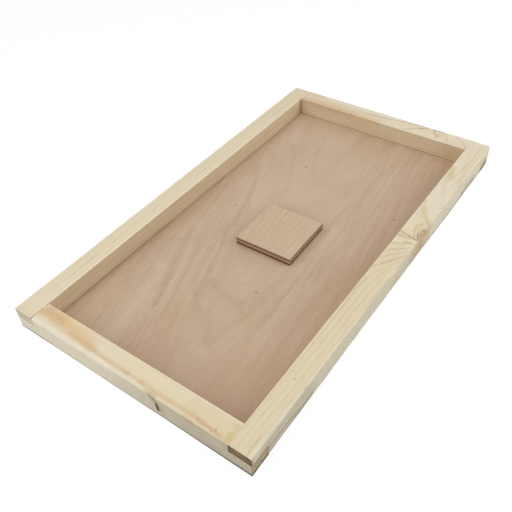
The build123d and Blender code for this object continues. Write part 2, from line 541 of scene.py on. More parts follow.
# %% Right rail's marks
# A knot breaks through the outer edge behind the middle, and its end faces the camera.
knot_eye = (50.0, half_width + 20.0)
knot_fan = [
    (0.0, 0.0), (0.25, 2.6), (0.46, 4.0), (0.55, 4.8), (0.66, 5.3), (0.74, 6.0), (0.9, 7.0), (1.11, 8.0),
    (1.45, 9.0), (1.9, 9.3), (2.2, 9.6), (2.45, 10.0), (2.8, 11.0), (2.95, 12.0), (math.pi, 13.0)
]
right_strokes = [
    # Broad tones
    on_top([(129, -245), (130, 20)], 15.0, "#CDB88F", 0.25, 0.4),
    on_top([(128, 100), (128, 250)], 17.0, "#E0D7C4", 0.45, 0.4),
    on_top([(136.5, -250), (136.5, -232)], 1.8, "#C2AA7B", 0.5),
    on_right([(-228, 12), (-170, 12)], 18.0, "#A89A7C", 0.3, 0.4),
    # Grain and small cracks of the top
    on_top([(129.3, -170.4)], 1.6, "#756848", 0.7, 0.2),
    on_top([(130.5, 37.0), (134, 38.6), (138, 40)], 1.5, "#92794F", 0.7),
    on_top([(120.5, 50.7), (130, 48.8), (141, 45.9)], 1.6, "#94805A", 0.78),
    on_top([(119.5, 51.5), (122, 51)], 3.4, "#D2AC82", 0.6),
    on_top([(139, 46.5), (136, 50), (132.5, 57), (131.5, 63)], 1.4, "#B9A272", 0.7),
    on_top([(131.8, 61), (131, 68), (133.5, 72)], 3.6, "#C6B27A", 0.65),
    on_top([(139.5, 49), (136.5, 55), (135.2, 63), (136, 69)], 1.2, "#BEA678", 0.55),
    on_top([(140.5, 76), (133.5, 84), (127, 97), (121, 108)], 3.6, "#CDB683", 0.35),
    on_top([(128, 91), (124, 99)], 5.5, "#CFBA86", 0.4),
    on_top([(121, 109), (119.5, 114)], 3.2, "#D2AB7E", 0.45),
    on_top([(126, 166), (121.5, 186)], 6.5, "#C9AE7C", 0.6),
    on_top([(127.5, 158), (131, 178), (134.5, 200), (134.5, 245)], 2.8, "#C6B387", 0.45),
    on_top([(134, 150), (138, 180), (139, 248)], 1.8, "#C9B78D", 0.4),
    # The knot's end in the outer face
    on_right([(-8, 8), (52, 15), (76, 22)], 14.0, "#BDA684", 0.3, 0.15),
    on_right([(43, 12), (67, 13)], 14.5, "#C6B08E", 0.85, 0.65),
    on_right([(48, 22.5), (68, 21.5)], 4.8, "#C6AE86", 0.7, 0.2),
    on_right([(59, 20), (55, 14)], 6.0, "#B29670", 0.3),
    on_right([(54, 14), (58, 10)], 4.0, "#998553", 0.6),
    on_right([(30, 8), (62, 6)], 7.0, "#A09478", 0.25),
    # Stains of the outer face
    on_right([(-229, 11.5), (-190, 10)], 1.8, "#82714F", 0.7),
    on_right([(-192, 6), (-163, 5)], 3.2, "#877C62", 0.6),
    on_right([(172, 3), (203, 4)], 12.0, "#7F7B66", 0.55),
    on_right([(-174, 26), (-170, 25)], 2.4, "#84775A", 0.7),
    on_right([(-250, 25.6), (-72, 25.6)], 2.3, "#E4DCC6", 0.75, 0.3),
    # The knot in the top edge, with three pits
    on_top([(142, 53), (141.6, 64)], 5.4, "#BB9B76", 0.92, 0.3),
    on_top([(140.5, 48.6), (138.4, 51), (137.2, 56)], 1.6, "#8A6642", 0.8),
    on_top([(137.2, 56), (137.8, 62), (141.5, 68)], 1.4, "#A98558", 0.6),
    on_top([(140.5, 54.5)], 1.4, "#80603F", 0.9),
    on_top([(139.0, 58.5)], 1.2, "#7B5B3A", 0.9),
    on_top([(140.8, 62.5)], 1.3, "#80603F", 0.9),
    # Dark rings of the end
    on_front([(119, 22.6), (142, 21.6)], 5.0, "#4A3016", 0.6, 0.1),
    on_front([(119, 17.5), (142, 16.5)], 5.5, "#5A4427", 0.8),
    on_front([(136, 20.5), (141, 17.5)], 2.8, "#452C1A", 0.7),
]
right_end_marks = [
    on_front_end([(120, 22.0), (131, 21.2), (140, 19.6)], 1.5, "#A58C62", 0.75, 0.2),
    on_front_end([(120, 18.2), (131, 17.4), (139, 16.2)], 1.5, "#9C845C", 0.6, 0.2),
    on_front_end([(120, 20.2), (131, 19.4), (141, 17.6)], 1.3, "#47301A", 0.7, 0.2),
    on_front_end([(120, 24.6), (131, 24.2), (141, 22.6)], 1.6, "#3F2812", 0.5, 0.2),
]

# %% Right rail's wood
right_spruce = spruce(
    "planed spruce, right rail", "Y", 2.0, wander=3.0, contrast=0.85, knot=(knot_eye, 5.8, knot_fan),
    strokes=right_strokes, marks=right_end_marks, late="#B39B6D"
)

# %% Front rail's marks
# Sap has run along its top in a pink and yellow streak, and a crack has opened in its face.
front_strokes = [
    # The streak of sap, from left to right
    on_top([(-116, -240), (-107, -235.5)], 7.5, "#C9A274", 0.6),
    on_top([(-112, -235), (-90, -237.5)], 12.0, "#C9A274", 0.6),
    on_top([(-98, -236), (-69, -240), (-45, -244)], 12.0, "#CFA96E", 0.58),
    on_top([(76, -241), (117, -241)], 15.0, "#CDB88E", 0.35, 0.3),
    on_top([(-85, -233), (-50, -235)], 8.0, "#E0C28C", 0.4),
    on_top([(-10, -238), (110, -240)], 9.0, "#E2D0A8", 0.4),
    on_top([(-72, -243.5), (-47, -245), (-28, -246.4), (6, -246.6)], 3.8, "#C79E70", 0.5),
    on_top([(0, -246.4), (24, -246.8)], 2.0, "#B0906A", 0.35),
    on_top([(20, -246.6), (46, -247.6), (80, -247), (110, -249.8)], 4.4, "#D0AA7E", 0.6),
    on_top([(84, -247.4), (108, -249.6)], 2.2, "#BE9468", 0.4),
    # Pale front edge, and the yellow corner on the right
    on_top([(-117, -251.5), (-15, -252)], 5.5, "#EEE6D4", 0.55, 0.2),
    on_top([(-18, -250.8), (28, -251)], 3.4, "#E4DCC6", 0.5),
    on_top([(116, -251), (116, -246)], 5.5, "#CBAD74", 0.7),
    on_top([(117, -246), (116, -234)], 5.0, "#D0BB7E", 0.55),
    # Marks of the front face
    on_front([(-118.6, 26), (-118.6, 16)], 1.3, "#8C7C62", 0.7),
    on_front([(38, 24), (45, 14)], 8.0, "#A08760", 0.62),
    on_front([(73, 25.5), (82, 25)], 2.8, "#B0917A", 0.6),
    on_top([(29, -251), (36, -251.8)], 2.2, "#9A8A62", 0.4),
]
front_marks = [
    # A pit, the open joint with the left rail, and the crack
    on_top([(103.3, -246.9)], 1.4, "#6E5A3E", 0.75, 0.1),
    on_top([(-118.7, -251.5), (-118.7, -247)], 1.1, "#6B5834", 0.9, 0.4),
    on_top([(-118.7, -246), (-118.7, -236)], 0.9, "#7A6640", 0.3, 0.2),
    on_top([(-118.7, -231.5), (-118.7, -229.5)], 1.2, "#6B5834", 0.9, 0.4),
    on_front([(34.5, 26.2), (40.6, 24), (41.8, 20)], 1.0, "#7A6442", 0.75),
    on_front([(41.8, 19.2), (42.2, 15.0)], 1.9, "#4C3515", 1.0, 0.3),
    on_front([(42.2, 15.5), (42.3, 11.0)], 2.8, "#4C3515", 1.0, 0.35),
    on_front([(42.3, 11.0), (42.4, 8.8)], 1.7, "#4C3515", 1.0, 0.3),
]

# %% Front rail's wood
front_spruce = spruce(
    "planed spruce, front rail", "X", 3.0, pith=(-190.0, 10.0), ring_width=3.0, contrast=0.4,
    strokes=front_strokes, marks=front_marks, ragged_cell=(1.2, 5, 5), raggedness=3.0, sawn_tone="#E7DFCC"
)

# %% Rear rail's wood
# It is the farthest from the camera. Its rings are drawn 3.9 mm apart, coarser than the other rails' rings,
# because finer lines would shimmer at that distance.
rear_strokes = [
    # Corners
    on_rear_inside([(-119, 6), (-119, 26)], 1.3, "#8C7450", 0.45),
    on_rear_inside([(100, 17), (119, 17)], 24.0, "#B0936A", 0.4),
    on_right([(233, 3), (249, 6)], 9.0, "#5A5647", 0.8, 0.1),
    # Broad tones of the top
    on_top([(-117, 241), (-10, 241)], 22.0, "#D3BE9C", 0.5, 0.4),
    on_top([(10, 241), (117, 241)], 20.0, "#DCCFB6", 0.5, 0.4),
    on_top([(-117, 232), (-40, 233)], 9.0, "#CBA57E", 0.5),
    on_top([(-40, 232), (0, 231)], 6.0, "#D0AE85", 0.4),
    on_top([(-90, 249), (20, 248)], 6.5, "#EAE4D4", 0.6),
    # Grain that crosses the top, and a knot on its right
    on_top([(-25, 241.5), (20, 247), (58, 252)], 2.4, "#AB9880", 0.45),
    on_top([(36, 233), (48, 242), (61, 250)], 2.8, "#B39E7B", 0.5),
    on_top([(52, 245), (60, 249.5)], 1.6, "#8B7B67", 0.6),
    on_top([(80, 243)], 7.0, "#C9B386", 0.6),
    on_top([(69, 250.5), (74, 243), (79, 236)], 2.6, "#AE946D", 0.55),
    on_top([(70, 251.4), (82, 250.8)], 1.9, "#6E6558", 0.75),
    on_top([(85, 249), (90, 242), (92, 236)], 2.4, "#C2AA84", 0.45),
    on_top([(101, 249), (114, 240), (118, 231)], 2.4, "#C5AD86", 0.4),
]
rear_spruce = spruce(
    "planed spruce, rear rail", "X", 4.0, pith=(240.0, -75.0), ring_width=3.9, wander=2.0, contrast=0.7,
    strokes=rear_strokes, early="#E7DAC0", late="#AE8F5E", top_clear=0.3, unevenness=0.5
)

# %% [markdown]
# The four rails. The long rails' upper halves run over the corner laps and the short rails' lower halves run
# under them, so each end is half the height. The underside is rebated for the panel. Boolean modifiers could
# cut the laps and the rebate from a box; in a lattice those cells are simply left out, and every new edge has
# points beside it for its wear.

# %% Faces and nail places
TOP = (2, rail_top, 1)
UNDERSIDE = (2, 0.0, -1)
REBATE_CEILING = (2, panel_top, -1)
height_stops = [0.0, panel_top, lap_level, rail_top]


def is_rebate(x, y, z):
    """True in the shallow recess under the rails that the panel lies in."""
    return (np.abs(x) < rebate_half_width) & (np.abs(y) < rebate_half_length) & (z < panel_top)


inner_line_x = (inner_half_width + rebate_half_width) / 2
inner_line_y = (inner_half_length + rebate_half_length) / 2
outer_line_x = (rebate_half_width + half_width) / 2
outer_line_y = (rebate_half_length + half_length) / 2
nail_places = []
for side, end in itertools.product((-1, 1), repeat=2):
    nail_places += [(side * outer_line_x, end * inner_line_y), (side * inner_line_x, end * outer_line_y)]


def seat_nails(points):
    """Presses the wood in a little round each nail head, as the hammer does."""
    reach, depth = 4.0, 0.35
    for x, y in nail_places:
        away = np.hypot(points[:, 0] - x, points[:, 1] - y)
        under_head = (points[:, 2] < 0.3) & (away < reach)
        points[under_head, 2] += depth * np.clip(reach - away[under_head], 0, 1)


# %% Dirt, dust and rubbed edges
def dirt(points, outer):
    """How dirty each point is. The outer faces darken at their foot, most at the front right."""
    x, y, z = points.T
    dirty_height, face_depth = 3.4, 3.0
    share = np.interp(x, [-142, -115, -85, 0, 60, 142], [1.0, 0.8, 0.3, 0.35, 0.7, 1.0])
    share = share * np.interp(y, [-252, -60, 60, 190, 252], [1.0, 0.6, 0.45, 0.7, 0.5])
    foot = share * np.clip(dirty_height - z, 0, 1)
    return np.where(depth_below(points, outer) < face_depth, foot, 0.0)


def rubbed_edge(points, inner):
    """Marks the strip of the top, under two millimetres wide, along a rail's inner edge."""
    below, within = depth_below(points, TOP), depth_below(points, inner)
    x, y = np.abs(points[:, 0]), np.abs(points[:, 1])
    beside_tray = (x < inner_half_width + 3) & (y < inner_half_length + 3)
    return beside_tray * np.clip(1.4 - within / 1.1, 0, 1) * np.clip(1 - below / 0.3, 0, 1)


def settled_dust(points, inner):
    """Marks the foot of the inner face, where a little dust settles in the corner with the panel."""
    on_face = np.abs(depth_below(points, inner)) < TOUCH
    return 0.05 * on_face * np.clip((panel_top + 1.2 - points[:, 2]) / 0.6, 0, 1)


# %% [markdown]
# A rail starts as a lattice. Its faces are marked first, while every point still lies where the saw left it.
# Then each edge gets its own easing, which wavers along it, because that is what tells planed wood from
# plastic. The ends are roughened last.


# %% What every rail gets
def rail_marks(points, outer, inner):
    """What each point of a rail has been through, by the name that the material reads it under."""
    return {
        "sawn": 0.6 * (depth_below(points, outer) < TOUCH),
        "inside": np.abs(depth_below(points, inner)) < TOUCH,
        "grime": np.maximum(dirt(points, outer), settled_dust(points, inner)),
        "rubbed": rubbed_edge(points, inner),
        "end_grain": np.zeros(len(points)),
    }


def ease_along(points, faces, radii, waver, low=True):
    """Eases the edges that run along a rail. The radii are those of its outer edges, above and below."""
    outer, inner, rebate_wall = faces
    ease(points, TOP, outer, radii[0])
    ease(points, TOP, inner, 0.1 + 0.2 * waver)
    ease(points, UNDERSIDE, outer, radii[1], low)
    ease(points, REBATE_CEILING, inner, 0.35)
    ease(points, UNDERSIDE, rebate_wall, 0.4)


def finish_rail(name, points, quads, material, marks):
    """Makes a rail's piece, which stays with the cover."""
    piece = make_piece(name, points, quads, material, **marks)
    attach(piece, "cover")
    return piece


# %% Long rails
def long_rail(name, side, material, edges, end_tones):
    """A long rail, at x = side. The two edges give the easing of its outer edges along Y."""
    across_stops = sorted(side * v for v in (inner_half_width, rebate_half_width, half_width))
    along_stops = [-half_length, -inner_half_length, inner_half_length, half_length]

    def is_wood(x, y, z):
        return np.where(np.abs(y) < inner_half_length, ~is_rebate(x, y, z), z > lap_level)

    points, quads = lattice_shell([graded(across_stops), graded(along_stops), graded(height_stops)], is_wood)
    y = points[:, 1].copy()
    outer, inner = (0, side * half_width, side), (0, side * inner_half_width, -side)
    rebate_wall = (0, side * rebate_half_width, -side)
    lap_under = (2, lap_level, -1)
    at_lap = np.abs(y) > inner_half_length - TOUCH
    waver = grit(points, (8, 14, 8), 11 + side)
    marks = rail_marks(points, outer, inner)
    marks["rubbed"] *= (0.5 - 0.2 * side) * np.clip((inner_half_length - np.abs(y)) / 80, 0.3, 1)

    ease_along(points, (outer, inner, rebate_wall), [edge(y, waver) for edge in edges], waver, ~at_lap)
    ease(points, lap_under, outer, 0.3 * waver + 0.1, at_lap)
    for way, tone in zip((-1, 1), end_tones):
        end = (1, way * half_length, way)
        on_end = np.abs(y - end[1]) < TOUCH
        chips = 0.2 + 2.4 * tone * grit(points, (2.0, 4, 4), 31) ** 2
        splinters = 1.8 * grit(points, (1.6, 4, 4), 33) ** 2
        marks["end_grain"][on_end & (points[:, 2] < rail_top - splinters)] = tone
        ease(points, TOP, end, chips)
        ease(points, outer, end, 0.4 + 0.5 * waver)
        ease(points, inner, end, 0.15 + 0.2 * waver)
        ease(points, lap_under, end, 0.3)
        rough = 0.15 + 1.1 * tone * grit(points, (0.9, 3, 2.5), 37)
        points[on_end, 1] -= way * rough[on_end]
    return finish_rail(name, points, quads, material, marks)


# %% Crack
def open_crack(points, on_face, way, place, low, high):
    """Opens a crack in a short rail's face, as drying does. It is deepest at its middle."""
    depth, half_gap = 0.5, 0.8
    along = bump(points[:, 0], place, half_gap)
    upwards = bump(points[:, 2], (low + high) / 2, (high - low) / 2.2) ** 2
    points[on_face, 1] -= way * depth * (along * upwards)[on_face]


# %% Short rails
def short_rail(name, end, material, edges, end_tones, knocked, slit=None, weather=([0], [0])):
    """A short rail, at y = end. The two edges give the easing of its outer edges along X."""
    across_stops = sorted(end * v for v in (inner_half_length, rebate_half_length, half_length))
    along_stops = [s * v for s in (-1, 1) for v in (inner_half_width, rebate_half_width, half_width)]
    if slit:
        along_stops += [slit[0] - 3.0, slit[0] + 3.0]

    def is_wood(x, y, z):
        return ~is_rebate(x, y, z) & ((np.abs(x) < inner_half_width) | (z < lap_level))

    lines = [graded(sorted(along_stops), coarse=1.2), graded(across_stops), graded(height_stops)]
    points, quads = lattice_shell(lines, is_wood)
    x = points[:, 0].copy()
    above_lap = points[:, 2] > lap_level - TOUCH
    at_lap = np.abs(x) > inner_half_width - TOUCH
    outer, inner = (1, end * half_length, end), (1, end * inner_half_length, -end)
    rebate_wall = (1, end * rebate_half_length, -end)
    lap_over = (2, lap_level, 1)
    on_outer = depth_below(points, outer) < TOUCH
    waver = grit(points, (14, 8, 8), 21 + end)
    marks = rail_marks(points, outer, inner)
    marks["rubbed"] *= 0.35
    marks["weathered"] = on_outer * np.interp(x, *weather) * (0.8 + 0.4 * grit(points, (12, 8, 9), 91))

    if slit:
        open_crack(points, on_outer, end, *slit)
    ease_along(points, (outer, inner, rebate_wall), [edge(x, waver) for edge in edges], waver)
    ease(points, lap_over, outer, 0.3, at_lap)
    for way, tone in zip((-1, 1), end_tones):
        shoulder = (0, way * inner_half_width, way)
        tip = (0, way * half_width, way)
        on_tip = np.abs(x - tip[1]) < TOUCH
        marks["end_grain"][on_tip] = tone
        marks["grime"] = np.maximum(marks["grime"], dirt(points, tip))
        ease(points, TOP, shoulder, 0.1 + 0.6 * waver)
        ease(points, outer, shoulder, 0.3 + 0.4 * waver, above_lap)
        ease(points, lap_over, tip, 0.3)
        ease(points, UNDERSIDE, tip, 0.3 + 0.6 * waver)
        ease(points, outer, tip, 0.4 + 0.5 * waver)
        ease(points, inner, tip, 0.3)
        rough = 0.1 + 0.5 * tone * grit(points, (3, 0.9, 2.5), 41)
        points[on_tip, 0] -= way * rough[on_tip]
    knock(points, *knocked)
    seat_nails(points)
    return finish_rail(name, points, quads, material, marks)


# %% [markdown]
# How far an edge is worn depends on where it is. The functions below give its radius in millimetres from the
# place along the rail and a random waver from 0 to 1. A bump is a spot that took a blow or was handled most.


# %% Wear along each edge
def plain_edge(places, waver):
    return 0.3 + 0.4 * waver


def worn_edge(places, waver):
    return 0.9 + 1.2 * waver


def right_top_edge(y, waver):
    return 0.4 + 0.6 * waver + 1.8 * bump(y, -172, 6) + 1.5 * bump(y, -230, 7) + 0.6 * bump(y, 57, 12)


def right_bottom_edge(y, waver):
    worn = np.interp(y, [40, 120], [1.0, 0.45]) * (1.8 + 1.6 * waver)
    return worn + bump(y, -60, 90) + 0.6 * bump(y, 188, 18)


def front_top_edge(x, waver):
    return 0.6 + 0.7 * waver + 1.8 * bump(x, -75, 42)


def front_bottom_edge(x, waver):
    return worn_edge(x, waver) * np.clip((half_width - x) / 90, 0.3, 1)


def rear_top_edge(x, waver):
    return 0.15 + 0.2 * waver + 0.4 * bump(x, 75, 8) + 0.3 * bump(x, 40, 14)


# %% Four rails
left_edges = (plain_edge, worn_edge)
left_rail_wood = long_rail("left_rail_wood", -1, left_spruce, left_edges, (0.28, 0.5))
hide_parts("long_rail_left")

right_edges = (right_top_edge, right_bottom_edge)
right_rail_wood = long_rail("right_rail_wood", 1, right_spruce, right_edges, (1.0, 0.5))
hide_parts("long_rail_right")

front_edges = (front_top_edge, front_bottom_edge)
front_knock = ((-half_width, -half_length, 0.0), (-1, -1, -1), 1.4)
front_slit = (42.4, 8.2, 19.9)
front_weather = ([-30, 30, 80, 142], [0.0, 0.31, 0.5, 0.61])
front_rail_wood = short_rail(
    "front_rail_wood", -1, front_spruce, front_edges, (0.5, 0.65), front_knock, front_slit, front_weather
)
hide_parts("short_rail_front")

rear_edges = (rear_top_edge, worn_edge)
rear_knock = ((half_width, half_length, 0.0), (1, 1, -1), 1.6)
rear_rail_wood = short_rail("rear_rail_wood", 1, rear_spruce, rear_edges, (0.5, 0.25), rear_knock)
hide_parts("short_rail_rear")

# %% [markdown]
# The panel is okoume plywood, a pinkish tropical veneer that is peeled from the log in one long sheet.
# Peeling cuts along the rings, so there are no hard ring lines: only soft bands, which nest like the lines
# of a contour map where the knife crosses a ring slowly. A wave pattern would repeat too evenly, so the
# bands are noise that is read along nested parabolas.


# %% Figure of a peeled veneer
def contour_bands(add, bent, focus, seed):
    """Soft bands between parabolas that follow one another along the sheet."""
    lean, band_width, plain_length, drift_length = 0.22, 42.0, 320.0, 160.0
    axes = add("ShaderNodeSeparateXYZ", [bent]).node.outputs
    past = add(MATH, [axes["Y"], focus[1]], "SUBTRACT")
    aside = add(MATH, [axes["X"], focus[0]], "SUBTRACT")
    aside = add(MATH, [past, lean, aside], "MULTIPLY_ADD")
    steep = add(RANGE, [aside, -5.0, 5.0, 0.07, 0.053])
    square = add(MATH, [aside, aside], "MULTIPLY")
    square = add(MATH, [square, steep], "MULTIPLY")
    contour = add(MATH, [past, square], "SUBTRACT")
    # Past the focus the bands grow ever wider, so the middle of the sheet is nearly plain.
    ahead = add(MATH, [contour, 0.0], "MAXIMUM")
    fading = add(MATH, [ahead, plain_length], "ADD")
    widened = add(MATH, [ahead, fading], "DIVIDE")
    widened = add(MATH, [widened, plain_length], "MULTIPLY")
    behind = add(MATH, [contour, 0.0], "MINIMUM")
    contour = add(MATH, [behind, widened], "ADD")
    contour = add(MATH, [contour, band_width], "DIVIDE")
    drift = add(MATH, [axes["Y"], drift_length], "DIVIDE")
    cells = add("ShaderNodeCombineXYZ", {"X": contour, "Y": drift, "Z": seed})
    return patches(add, cells, (1, 1, 1), 2.0, (0.36, 0.75, 0.0, 0.5))


# %% [markdown]
# Fine streaks and short dark dashes, where vessels were cut open, follow the grain. The vessels are drawn
# half a millimetre wide, about twice their real width, so that they show. Across the grain a sawn edge shows
# cut fibre ends, which are far darker than the face.


# %% Okoume veneer
def okoume(name, seed, pale="#C7B099", deep="#A98C74", golden="#BEA68A", turn=0.0, focus=(27.0, -110.0),
           end_tones=("#4E3624", "#96735A"), strokes=()):
    """Peeled and sanded okoume veneer with its grain along Y, or along X where it is turned."""
    material, add, shader, place = new_material(name)
    veneer = add("ShaderNodeMapping", {"Vector": place, "Rotation": (0, 0, turn)})
    wave = patches(add, veneer, (34, 95, 40), 2.0, seed=seed, out="Color")
    bent = add(VECTOR, [wave, (14, 20, 0), veneer], "MULTIPLY_ADD")
    ripple = patches(add, veneer, (5, 16, 5), 3.0, seed=seed, out="Color")
    bent = add(VECTOR, [ripple, (3.5, 10, 0), bent], "MULTIPLY_ADD")
    zones = patches(add, bent, (40, 120, 60), 3.0, (0.35, 0.65, 0.0, 1.0), seed + 1)
    bands = contour_bands(add, bent, focus, seed)
    fibres = patches(add, bent, (0.9, 26, 3), 3.0)
    mottle = patches(add, bent, (4, 15, 5), 4.0, roughness=0.65)
    streaks = add(MATH, [fibres, mottle], "ADD")
    streaks = add(RANGE, [streaks, 0.6, 1.4, 0.91, 1.08])
    vessels = patches(add, veneer, (0.5, 6.0, 1.0), 1.0, (0.66, 0.74, 0.0, 0.35))
    ends = patches(add, veneer, (2.2, 2.2, 0.7), 3.0)
    cut_across = lay_coats(add, end_tones[0], (ends, end_tones[1], "MIX"))
    end_grain = add("ShaderNodeAttribute", out="Fac", attribute_name="end_grain")
    colour = lay_coats(
        add, pale, (zones, golden, "MIX"), (bands, deep, "MIX"), (1.0, streaks, "MULTIPLY"),
        (vessels, "#7D5F48", "MIX")
    )
    colour = paint_strokes(add, place, colour, strokes, (3, 3, 3), 0.6)
    colour = lay_coats(add, colour, (end_grain, cut_across, "MIX"))
    dents = add(MATH, [fibres, vessels], "SUBTRACT")
    normal = add("ShaderNodeBump", {"Height": dents, "Strength": 0.2, "Distance": 0.1 * MM})
    fill(shader, {"Base Color": colour, "Normal": normal, "Roughness": 0.58, "IOR": 1.5})
    print(f"{name}: {len(material.node_tree.nodes)} nodes, {len(strokes)} strokes")
    return material


# %% [markdown]
# The panel's solids already have the right shape, with their feed hole, so they stay and take this finish.
# Broad strokes give the sheet its darker borders, thin ones the lines of its figure, and dots its specks.

# %% Panel's marks
on_panel = flat_on(2, panel_top)
panel_strokes = [
    # Darker borders
    on_panel([(122, -240), (117, 240)], 85.0, "#AC876A", 0.44),
    on_panel([(112, -238), (112, -175)], 45.0, "#AC876A", 0.25),
    on_panel([(10, 240), (110, 240)], 120.0, "#AF8A68", 0.22),
    on_panel([(0, -235), (90, -235)], 130.0, "#AC8C74", 0.52),
    on_panel([(-119, -225), (-119, 225)], 30.0, "#A98668", 0.38),
    on_panel([(-112, 215), (-20, 224)], 45.0, "#B08A5C", 0.2),
    on_panel([(-119, -230), (-119, -60)], 11.0, "#8C6F58", 0.24),
    on_panel([(-119, -230), (-119, 230)], 6.0, "#8C6F58", 0.24),
    # One darker and three paler fields
    on_panel([(62, -110), (62, -15)], 42.0, "#A98B72", 0.3),
    on_panel([(-62, 60), (-38, 130)], 46.0, "#CFB89F", 0.42),
    on_panel([(-20, 72), (12, 72)], 34.0, "#D2BBA0", 0.2, 0.5),
    on_panel([(-70, -150), (-53, -212)], 12.0, "#CFB89F", 0.34),
    # Specks and scratches
    on_panel([(-42.8, 121.1), (-42.8, 121.8)], 1.6, "#5A412B", 0.9, 0.2),
    on_panel([(96.6, 87.2), (96.6, 88)], 1.6, "#6A5039", 0.85, 0.2),
    on_panel([(30.7, -91.3), (30.7, -90.8)], 1.4, "#5A412B", 0.9, 0.2),
    on_panel([(-75, 13.2), (-71.8, 13.6)], 1.0, "#7D5F48", 0.9, 0.2),
    on_panel([(-75, 14.8), (-71.5, 15)], 0.9, "#E6D5BE", 0.9, 0.2),
    on_panel([(25, -190), (25.2, -172)], 0.8, "#95785F", 0.5),
]
figure_lines = [
    ([(27, -168), (8, -150), (-9, -137), (-17, -108)], 15.0, 0.28),
    ([(24, -112), (2, -112), (-17, -101)], 8.0, 0.2),
    ([(-23, -128), (-37, -104), (-47, -76), (-50, -64)], 6.5, 0.2),
    ([(-90, -50), (-77, -88), (-62, -122), (-46, -160)], 8.0, 0.36),
    ([(-53, -36), (-56, -12), (-64, 22), (-77, 56), (-97, 96)], 7.5, 0.28),
    ([(-98, 5), (-104, 50)], 9.0, 0.14),
    ([(-103, -85), (-90, -155)], 18.0, 0.24),
    ([(-41, -22), (-49, 3), (-59, 23)], 6.0, 0.16),
    ([(-92, -72), (-82, -104)], 10.0, 0.3),
    ([(-36, 52), (-39, 71), (-53, 102), (-73, 138), (-86, 156)], 6.5, 0.22),
    ([(-25, 110), (-45, 146), (-57, 194)], 6.5, 0.18),
    ([(42, 30), (42, -40)], 6.0, 0.22),
    ([(44, 43), (44, 122), (50, 182), (48, 224)], 7.0, 0.14),
]
for path, reach, strength in figure_lines:
    panel_strokes.append(on_panel(path, reach, "#A08269", strength))

# %% Panel's veneers
panel_okoume = okoume("sanded okoume veneer, panel", 5.0, strokes=panel_strokes)
core_okoume = okoume("sawn okoume core", 6.0, "#CDB28C", "#B2936C", "#C6AA80", math.pi / 2)
panel_finish = {"face": panel_okoume, "core": core_okoume, "back": panel_okoume}
for layer, material in panel_finish.items():
    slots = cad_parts[f"panel_{layer}_veneer"].material_slots
    for slot in slots:
        slot.material = material
    print(f"panel_{layer}_veneer: {len(slots)} slot dressed")

# %% [markdown]
# The loose cap is a sawn offcut of three-ply. The saw leaves the edges ragged, and the veneers show on them
# as dark and light bands, dark where their fibres were cut across. It lies a little askew. A box with a bevel
# would look moulded, so each veneer is a lattice too, with points close enough to tear its edges a little.

# %% Cap's place and shape
cap_turn = math.radians(1.2)
cap_low, cap_high = solid_box("cap_face_veneer")
cap_centre = (cap_low + cap_high) / 2
cap_side = (cap_high[0] - cap_low[0]) / (math.cos(cap_turn) + math.sin(cap_turn))
cap_step = 0.7


def cap_veneer(name, node, material, cut_ends, glue, seed):
    """One veneer of the cap: how dark its X and Y edges are cut, and how deep the dark glue line is."""
    low, high = solid_box(node)
    half = cap_side / 2
    lines = np.linspace(-half, half, round(cap_side / cap_step) + 1)
    levels = graded([low[2], high[2]], 0.25, 0.5)
    points, quads = lattice_shell([lines, lines, levels], lambda x, y, z: np.abs(x) < half)
    on_x_edge, on_y_edge = (np.abs(np.abs(points[:, axis]) - half) < TOUCH for axis in (0, 1))
    end_grain = np.maximum(cut_ends[0] * on_x_edge, cut_ends[1] * on_y_edge)
    rag = grit(points, (1.6, 1.6, 0.6), seed)
    glued = (on_x_edge | on_y_edge) & (points[:, 2] > high[2] - glue * (0.6 + 0.8 * rag))
    end_grain = np.maximum(end_grain, glued)
    top, underside = (2, high[2], 1), (2, low[2], -1)
    edges = [(axis, way * half, way) for axis in (0, 1) for way in (-1, 1)]
    on_edges = [np.abs(depth_below(points, edge)) < TOUCH for edge in edges]
    for edge in edges:
        ease(points, top, edge, 0.1 + 0.5 * rag)
        ease(points, underside, edge, 0.1 + 0.3 * rag)
    for edge, on_edge in zip(edges, on_edges):
        points[on_edge, edge[0]] -= edge[2] * (0.05 + 0.3 * rag[on_edge])
    cos, sin = math.cos(cap_turn), math.sin(cap_turn)
    x, y = points[:, 0].copy(), points[:, 1].copy()
    points[:, 0] = cap_centre[0] + cos * x - sin * y
    points[:, 1] = cap_centre[1] + sin * x + cos * y
    piece = make_piece(name, points, quads, material, end_grain=end_grain)
    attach(piece, "cap")
    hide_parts(node)
    return piece


# %% Cap's three veneers
on_cap = flat_on(2, cap_high[2])
cap_strokes = [
    on_cap([(0.4, -36.0)], 0.9, "#5A412B", 0.9, 0.3),
    on_cap([(26.6, -36.1)], 0.9, "#5A412B", 0.9, 0.3),
    on_cap([(37.0, -39.6), (34.5, -40.2)], 1.6, "#E2CDB0", 0.9, 0.3),
]
cap_okoume = okoume(
    "sanded okoume veneer, cap", 8.0, "#C7B096", "#B0967A", "#C5AE90", -cap_turn, (-70.0, -160.0),
    ("#6A4C36", "#A58064"), cap_strokes
)
cap_core_okoume = okoume(
    "sawn okoume core, cap", 9.0, "#D2B396", "#BF9F80", "#CBAB8C", math.pi / 2 - cap_turn,
    end_tones=("#7A5B44", "#A38066")
)
cap_back_okoume = okoume(
    "rough okoume veneer, cap", 8.0, "#8F7058", "#7A5C45", "#896A52", -cap_turn,
    end_tones=("#46301E", "#73543C")
)
cap_veneer("cap_face_wood", "cap_face_veneer", cap_okoume, (0.75, 1.0), 0.0, 51)
cap_veneer("cap_core_wood", "cap_core_veneer", cap_core_okoume, (0.4, 0.1), 0.9, 52)
cap_veneer("cap_back_wood", "cap_back_veneer", cap_back_okoume, (0.8, 1.0), 0.0, 53)

